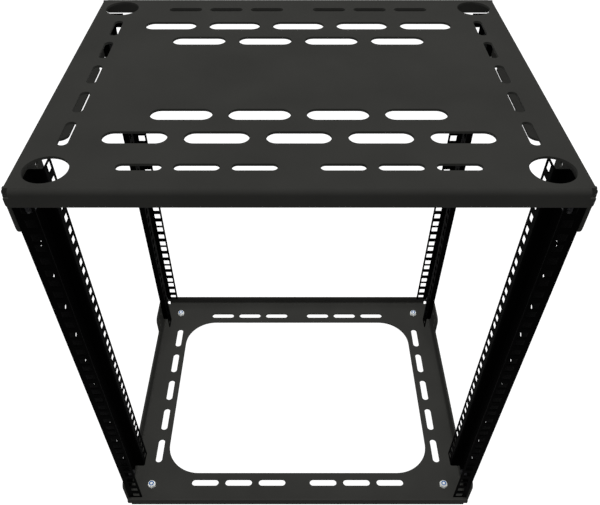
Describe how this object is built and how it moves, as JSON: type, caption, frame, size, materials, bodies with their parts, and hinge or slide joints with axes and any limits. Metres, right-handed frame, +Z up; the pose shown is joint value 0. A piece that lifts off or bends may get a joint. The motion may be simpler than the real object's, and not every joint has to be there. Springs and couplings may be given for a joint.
{
  "type": "open-frame equipment rack",
  "caption": "Open-frame rack for 19-inch equipment: slotted top and base trays joined by four folded posts with square cage-nut holes; hand holds and rubber feet.",
  "frame": {"origin": "on the surface under the feet, midway between the four of them", "axes": "+X to the rack's right as seen from the front, -Y towards the front, +Z up"},
  "size_m": [0.502, 0.4046, 0.582],
  "materials": {
    "tray_coat": "fine satin black powder coat",
    "post_coat": "deep black powder coat",
    "black_steel": "black oxide",
    "zinc_steel": "bright zinc plate",
    "nylon": "blue nylon",
    "rubber": "moulded rubber"
  },
  "bodies": {
    "root": {"top_tray": "tray_coat", "base_tray": "tray_coat", "front_left_post": "post_coat", "front_left_foot": "rubber", "front_left_foot_washer": "zinc_steel", "front_left_foot_screw": "zinc_steel", "front_left_lock_nut": "zinc_steel", "front_left_nut_insert": "nylon", "base_front_left_post_screw": "black_steel", "base_front_left_post_nut": "black_steel", "top_front_left_post_screw": "black_steel", "top_front_left_post_nut": "black_steel", "front_right_post": "post_coat", "front_right_foot": "rubber", "front_right_foot_washer": "zinc_steel", "front_right_foot_screw": "zinc_steel", "front_right_lock_nut": "zinc_steel", "front_right_nut_insert": "nylon", "base_front_right_post_screw": "black_steel", "base_front_right_post_nut": "black_steel", "top_front_right_post_screw": "black_steel", "top_front_right_post_nut": "black_steel", "rear_left_post": "post_coat", "rear_left_foot": "rubber", "rear_left_foot_washer": "zinc_steel", "rear_left_foot_screw": "zinc_steel", "rear_left_lock_nut": "zinc_steel", "rear_left_nut_insert": "nylon", "base_rear_left_post_screw": "black_steel", "base_rear_left_post_nut": "black_steel", "top_rear_left_post_screw": "black_steel", "top_rear_left_post_nut": "black_steel", "rear_right_post": "post_coat", "rear_right_foot": "rubber", "rear_right_foot_washer": "zinc_steel", "rear_right_foot_screw": "zinc_steel", "rear_right_lock_nut": "zinc_steel", "rear_right_nut_insert": "nylon", "base_rear_right_post_screw": "black_steel", "base_rear_right_post_nut": "black_steel", "top_rear_right_post_screw": "black_steel", "top_rear_right_post_nut": "black_steel"}
  },
  "joints": []
}
